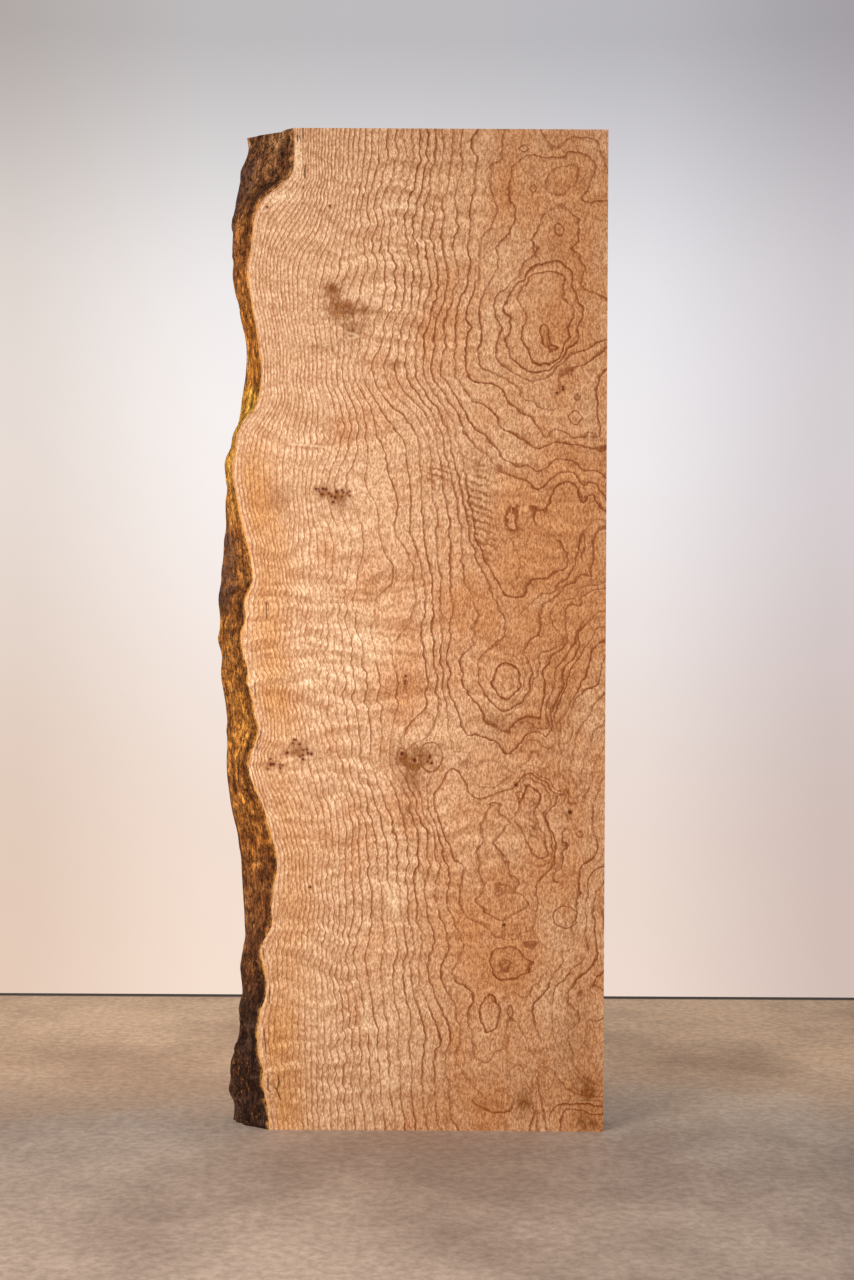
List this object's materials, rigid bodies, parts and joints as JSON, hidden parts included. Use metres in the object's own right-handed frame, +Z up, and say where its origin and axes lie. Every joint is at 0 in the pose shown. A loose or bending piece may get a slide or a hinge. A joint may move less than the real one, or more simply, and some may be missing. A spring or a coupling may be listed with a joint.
{
  "type": "maple board",
  "caption": "Thick flat-sawn maple slab with planed faces, square-cut ends and one square side; its other long side keeps the wavy natural edge of the trunk with remains of bark.",
  "frame": {"origin": "middle of the board's box, at the level of its foot end", "axes": "+Z up along the grain, +X towards the square-sawn side, -Y out of the front face; the live edge is at -X"},
  "size_m": [0.339, 0.038, 0.864],
  "materials": {
    "maple_wood": "sanded and oiled flat-sawn maple with wavy growth lines and pin knots; dark brown bark remains on the live edge"
  },
  "bodies": {
    "root": {"maple_board": "maple_wood"}
  },
  "joints": []
}
